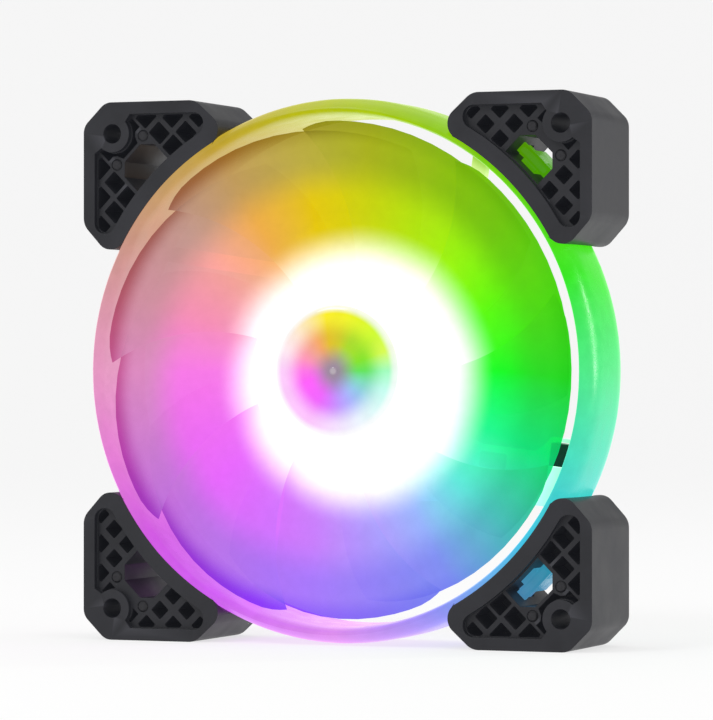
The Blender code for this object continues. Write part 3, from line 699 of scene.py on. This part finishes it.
def pocket_outlines(cells, rib, wide_rib):
    """Square pockets with thin ribs between them. Every other rib is a wide one."""
    outlines = []
    along_start, across_start = LATTICE_START
    for side, column, row in cells:
        odd = (column + row) % 2
        near, far = (wide_rib / 2, rib / 2) if odd else (rib / 2, wide_rib / 2)
        low = along_start + LATTICE_PITCH * row + near
        high = along_start + LATTICE_PITCH * (row + 1) - rib / 2
        inner = across_start + LATTICE_PITCH * column + rib / 2
        outer = across_start + LATTICE_PITCH * (column + 1) - far
        square = rounded([(x, z, 0.25) for x, z in rectangle(low, high, inner, outer)], 2)
        outlines.append([diagonal(along, side * across) for along, across in square])
    return outlines


def boss_pockets(thin):
    """Pockets beside the screw boss: one round its inner side, or one on each side of it."""
    if thin:
        half = [(68.9, 2.4), (70.4, 3.0), (71.1, 3.9), (71.1, 5.3), (75.6, 5.3)]
        shapes = [half + [(along, -across) for along, across in reversed(half)]]
    else:
        shapes = [rectangle(71.1, 74.8, 1.4, 4.9), rectangle(71.1, 74.8, -4.9, -1.4)]
    return [[diagonal(*spot) for spot in shape] for shape in shapes]


def recess_outline(inset=0.0):
    end = RECESS_END + inset
    limit = HALF_WIDTH - PAD_RIM - inset
    hole = HOLE_PITCH / 2
    radius = RECESS_RADIUS + inset
    curve = RECESS_CORNER - inset
    start = math.degrees(math.acos(end / radius))
    foot = math.sqrt(radius ** 2 - end ** 2)
    corner = HOLE_PITCH - 2 * inset - limit
    shape = [(end, foot, curve)]
    shape += [(x, z, 0.0) for x, z in arc(radius, start - 5.0, 95.0 - start, 24)]
    shape += [(foot, end, curve), (limit, end, curve), (limit, corner, 0.0)]
    shape += [(x, z, 0.0) for x, z in arc(BOSS_RADIUS + inset, -50.0, -220.0, 24, (hole, hole))]
    shape += [(corner, limit, 0.0), (end, limit, curve)]
    return rounded(shape)


def pad_window():
    radius = RECESS_RADIUS + 0.3
    edge = math.degrees(math.asin(WINDOW_HALF / radius))
    outline = arc(radius, 45.0 + edge, 45.0 - edge, 6)
    side, top = WINDOW_END - WINDOW_CHAMFER, WINDOW_HALF - WINDOW_CHAMFER
    for along, across in ((side, -WINDOW_HALF), (WINDOW_END, -top), (WINDOW_END, top),
                          (side, WINDOW_HALF)):
        outline.append(diagonal(along, across))
    return outline


def lug_slot():
    half = LUG_HALF + GAP
    return [diagonal(*spot) for spot in rectangle(54.0, LUG_REACH + GAP, -half, half)]


def make_pad_mesh(material):
    """The upper right pad. Broad bars cross its front face and thin ribs its back face."""
    corners = [(32.0, 46.0, 0.0), (PAD_END, 51.5, 3.4), (PAD_END, 54.5, 3.4),
               (32.4, HALF_WIDTH, 4.0), (54.2, HALF_WIDTH, 3.5)]
    corners += [(z, x, radius) for x, z, radius in reversed(corners)]
    corners.append((37.0, 37.0, 0.0))
    block = bevel_caps(prism_form([rounded(corners)], 0.0, DEPTH), 1.0, 5)
    pad = add_object("pad", block, material)

    depths = [0.0, 0.5, 1.2, 2.2, 3.6, 5.4, 8.0]
    offset = GAP + 0.05
    outside = [(barrel(depth, offset), depth) for depth in depths]
    outside += [(barrel(depth, offset), DEPTH - depth) for depth in reversed(depths)]
    body = [(0.0, -1.0), (57.9, -1.0)] + outside + [(57.9, DEPTH + 1.0), (0.0, DEPTH + 1.0)]
    cut(pad, turned_form(body, RING_SEGMENTS))

    cells = lattice_cells()
    for rib, wide_rib, near, far in ((1.6, 1.6, -1.0, POCKET_DEPTH),
                                     (0.7, 1.6, DEPTH - POCKET_DEPTH, DEPTH + 1.0)):
        outlines = pocket_outlines(cells, rib, wide_rib) + boss_pockets(rib < wide_rib)
        pockets = add_object("pockets", prism_form(outlines, near, far))
        field = add_object("field", prism_form([recess_outline(0.2)], -2.0, DEPTH + 2.0))
        boolean(pockets, field, "INTERSECT")
        boolean(pad, pockets, "DIFFERENCE")
    cut(pad, prism_form([recess_outline()], -1.0, RECESS_DEPTH))
    cut(pad, prism_form([recess_outline()], DEPTH - RECESS_DEPTH, DEPTH + 1.0))
    cut(pad, prism_form([pad_window()], -1.0, DEPTH + 1.0))
    cut(pad, prism_form([lug_slot()], LUG_FRONT - GAP, LUG_BACK + GAP))
    hole = HOLE_PITCH / 2
    bores = [circle(HOLE_DIAMETER / 2, 40, (hole, hole))]
    bores += [circle(PIN_RADIUS + PIN_FIT, 28, diagonal(PIN_ALONG, side * PIN_ACROSS))
              for side in (-1, 1)]
    cut(pad, prism_form(bores, -1.0, DEPTH + 1.0))
    smooth(pad, 30)
    mesh = pad.data
    bpy.data.objects.remove(pad)
    return mesh


def make_pads(material):
    mesh = make_pad_mesh(material)
    turns = {"upper_right": (0, 0, 0), "lower_left": (0, PI, 0),
             "upper_left": (0, 0, PI), "lower_right": (PI, 0, 0)}
    for corner, turn in turns.items():
        pad = bpy.data.objects.new("pad_" + corner, mesh)
        pad.rotation_euler = turn
        bpy.context.scene.collection.objects.link(pad)
        soften(pad, 0.06)
        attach(pad, "frame")
        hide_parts("corner_pad_" + corner)


# ---------------------------------------------------------------- rotor

def blade_point(radius, chord, side):
    """A point on one blade. chord runs 0 to 1 from the leading edge, side is -1 front, 1 back."""
    reach = max(0.0, (radius - HUB_RADIUS) / (TIP_RADIUS - HUB_RADIUS))
    span = 60.0 + 4.0 * reach
    sweep = 16.0 * reach ** 1.4
    degrees = 90.0 + sweep + span * (0.5 - chord)
    front = ROOT_FRONT + (TIP_FRONT - ROOT_FRONT) * reach
    back = ROOT_BACK + (TIP_BACK - ROOT_BACK) * reach
    depth = front + (back - front) * chord ** 2.2
    round_edge = math.sin(PI * min(max(chord, 0.0), 1.0)) ** 0.5
    thickness = (1.5 - 0.5 * reach) * (0.12 + 0.88 * round_edge)
    drawn = TIP_TAPER * chord ** 2.4 + TIP_CORNER * max(0.0, 1.0 - chord / 0.12) ** 2
    x, z = polar(radius - drawn * reach ** 2, degrees)
    return point(x, z, depth + side * thickness / 2)


def blade_forms():
    form = bmesh.new()
    rows, columns = 22, 20
    stations = [BLADE_START + (TIP_RADIUS - BLADE_START) * row / rows for row in range(rows + 1)]
    chords = [0.5 - 0.5 * math.cos(PI * column / columns) for column in range(columns + 1)]
    for blade in range(BLADES):
        spin = Matrix.Rotation(2 * PI * blade / BLADES, 3, "Y")
        loops = []
        for radius in stations:
            loop = [blade_point(radius, chord, -1) for chord in chords]
            loop += [blade_point(radius, chord, 1) for chord in reversed(chords)]
            loops.append([form.verts.new(spin @ spot) for spot in loop])
        count = len(loops[0])
        for loop, after in zip(loops, loops[1:]):
            for index in range(count):
                turn = (index + 1) % count
                form.faces.new((loop[index], loop[turn], after[turn], after[index]))
        for loop in (loops[0], loops[-1]):
            for index in range(len(chords) - 1):
                form.faces.new((loop[index], loop[index + 1], loop[-index - 2], loop[-index - 1]))
    return form


def make_rotor(blade, dome_look):
    shoulder = smooth_curve([(15.4, 2.2), (17.4, 2.25), (19.0, 2.6), (19.9, 3.2),
                             (20.3, 4.0), (HUB_RADIUS, 5.0)], 4)
    cup = [(0.0, 3.9), (DOME_RADIUS + GAP, 3.9), (DOME_RADIUS + GAP, 2.6), (14.75, 2.35)]
    cup += shoulder
    cup += [(HUB_RADIUS, HUB_BACK - 0.3), (20.3, HUB_BACK - 0.08), (20.1, HUB_BACK),
            (HUB_WALL, HUB_BACK), (HUB_WALL, 5.6), (3.9, 5.6), (3.9, 7.4), (1.8, 7.4),
            (1.8, 5.2), (0.0, 5.2)]
    impeller = add_object("rotor_blades", turned_form(cup, 128), blade)
    boolean(impeller, add_object("blades", blade_forms()), "UNION")
    smooth(impeller, 35)
    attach(impeller, "rotor")
    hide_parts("impeller")

    profile = smooth_curve([(0.0, 1.0), (0.55, 1.03), (0.8, 1.12)], 3)
    profile += smooth_curve([(1.0, 1.42), (3.0, 1.47), (6.0, 1.55), (9.0, 1.72), (11.5, 1.98),
                             (13.2, 2.3), (13.95, 2.6), (DOME_RADIUS, 3.0)], 5)
    profile += [(DOME_RADIUS, 3.6), (0.0, 3.6)]
    dome = add_object("dome", turned_form(profile, 128), dome_look)
    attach(dome, "rotor")
    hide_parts("hub_dome")


# ---------------------------------------------------------------- kept CAD nodes

def dress(name, material):
    """Gives a CAD node its material, welds its facets and splits its sharp edges."""
    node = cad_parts[name]
    node.data.materials.clear()
    node.data.materials.append(material)
    for face in node.data.polygons:
        face.use_smooth = True
        face.material_index = 0
    weld = node.modifiers.new("weld", "WELD")
    weld.merge_threshold = 0.000002
    split = node.modifiers.new("split", "EDGE_SPLIT")
    split.split_angle = math.radians(34)


def dress_inside():
    steel =plain_material("steel", (168, 170, 174), 0.32, 1.0, scale=260.0, stretch=(1, 8, 1))
    brass = plain_material("brass", (205, 168, 96), 0.28, 1.0, scale=300.0, stretch=(1, 8, 1))
    bronze = plain_material("sintered_bronze", (150, 112, 74), 0.5, 1.0, scale=2600.0, spread=26)
    ferrite = plain_material("ferrite", (52, 52, 55), 0.6, scale=1800.0, relief=0.25)
    seal = plain_material("seal_rubber", (28, 28, 29), 0.7, scale=1200.0)
    nylon = plain_material("insulator_nylon", (226, 222, 205), 0.45, scale=240.0, spread=6)
    chip = plain_material("chip_black", (34, 34, 37), 0.5, scale=2400.0, spread=5, relief=0.2)
    can = plain_material("capacitor_can", (190, 191, 196), 0.25, 1.0, scale=900.0)
    board = plain_material("circuit_board", (232, 234, 230), 0.35, scale=320.0, spread=6)
    light = plain_material("led_lens", (250, 250, 240), 0.3, scale=900.0, spread=4)
    diffuser = plain_material("diffuser", (246, 246, 242), 0.5, scale=500.0, spread=4)
    wire = plain_material("wire_sleeve", (38, 38, 40), 0.55, scale=900.0, spread=6)
    cover = plain_material("cover_black", (40, 40, 43), 0.45, scale=2200.0, spread=5, relief=0.15)
    pin = plain_material("pin_nylon", (36, 36, 40), 0.42, specular=0.3, scale=1500.0, spread=5)
    # The circuit board and the diffuser ring are no lamps: their glow is painted light from the
    # LEDs, which emit as lamps.
    glowing(board, 0.9)
    glowing(light, 5.0)
    glowing(diffuser, 3.0)
    groups = {
        "steel": (steel, ("rotor_yoke", "shaft", "retaining_clip", "stator_core")),
        "brass": (brass, ("bearing_tube",)),
        "bronze": (bronze, ("bearing_sleeve",)),
        "ferrite": (ferrite, ("magnet_ring",)),
        "seal": (seal, ("oil_seal", "thrust_pad")),
        "nylon": (nylon, ("insulator_front", "insulator_rear")),
        "chip": (chip, ("hall_sensor", "driver_chip")),
        "can": (can, ("capacitor",)),
        "board": (board, ("circuit_board",)),
        "light": (light, tuple(f"led_{index + 1}" for index in range(8))),
        "diffuser": (diffuser, ("diffuser_ring",)),
        "wire": (wire, ("lead_wires",)),
        "cover": (cover, ("wire_channel_cover", "cable_outlet")),
        "pin": (pin, tuple(f"pad_pin_{index + 1}" for index in range(8))),
    }
    for shader, names in groups.values():
        for name in names:
            dress(name, shader.material)
    winding = winding_material()
    for index in range(4):
        dress(f"coil_{index + 1}", winding)
    dress("back_label", label_material())


# ---------------------------------------------------------------- studio

def make_backdrop():
    """A pale floor that runs up into a round wall on all sides."""
    floor_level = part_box("corner_pad_lower_left")[0].z
    form = bmesh.new()
    profile = [(0.0, 0.0), (0.25, 0.0), (0.6, 0.0), (1.2, 0.0), (1.8, 0.0), (2.3, 0.05),
               (2.7, 0.18), (3.0, 0.45), (3.2, 0.9), (3.3, 1.5), (3.35, 2.6)]
    rim = [form.verts.new((radius, 0.0, floor_level + height)) for radius, height in profile]
    edges = [form.edges.new(pair) for pair in zip(rim, rim[1:])]
    bmesh.ops.spin(form, geom=rim + edges, cent=(0, 0, 0), axis=(0, 0, 1), angle=2 * PI,
                   steps=96, use_duplicate=False)
    bmesh.ops.remove_doubles(form, verts=form.verts, dist=0.00001)
    shader = Shader("pale_floor", roughness=0.9, specular=0.0)
    shader.set("Base Color", (0.30, 0.30, 0.30, 1.0))
    place = shader.tree.nodes.new("ShaderNodeSeparateXYZ")
    shader.feed(place.inputs[0], shader.position())
    high = shader.fade(place.outputs[2], 0.7, 1.5, 0.69, 0.25)
    side = shader.fade(place.outputs[0], 0.4, 1.0, 1.0, 0.22)
    glowing(shader, shader.maths("MULTIPLY", high, side))
    backdrop = add_object("backdrop", form, shader.material)
    for face in backdrop.data.polygons:
        face.use_smooth = True


def add_light(name, place, aim, size, power):
    lamp = bpy.data.lights.new(name, "AREA")
    lamp.shape = "RECTANGLE"
    lamp.size, lamp.size_y = size
    lamp.energy = power
    made = bpy.data.objects.new(name, lamp)
    made.location = place
    made.rotation_euler = (Vector(aim) - Vector(place)).to_track_quat("-Z", "Y").to_euler()
    bpy.context.scene.collection.objects.link(made)


def make_studio():
    make_backdrop()
    world = bpy.data.worlds.new("studio")
    world.use_nodes = True
    sky = world.node_tree.nodes["Background"]
    sky.inputs[0].default_value = (1.0, 1.0, 1.0, 1.0)
    sky.inputs[1].default_value = 0.9
    bpy.context.scene.world = world
    right_side = (0.04, 0.0, 0.02)
    add_light("key_softbox", (-0.45, -0.75, 0.75), (0.0, 0.0, 0.0), (0.35, 0.35), 3.5)
    add_light("right_strip", (0.72, 0.56, 0.14), right_side, (0.03, 0.4), 2.5)
    add_light("edge_strip", (0.86, -0.30, 0.10), right_side, (0.03, 0.4), 1.0)
    bpy.context.scene.view_settings.view_transform = "Standard"


def make_camera():
    eye = Vector((0.32725, -0.80081, 0.0))
    target = Vector((0.00508, -0.01039, 0.002375))
    lens = bpy.data.cameras.new("camera")
    lens.lens = 197.24
    lens.sensor_width = 36.0
    camera = bpy.data.objects.new("camera", lens)
    camera.location = eye
    camera.rotation_euler = (target - eye).to_track_quat("-Z", "Y").to_euler()
    bpy.context.scene.collection.objects.link(camera)
    bpy.context.scene.camera = camera


make_frame(frame_material())
make_pads(pad_material())
make_rotor(blade_material(), dome_material())
dress_inside()
make_studio()
make_camera()
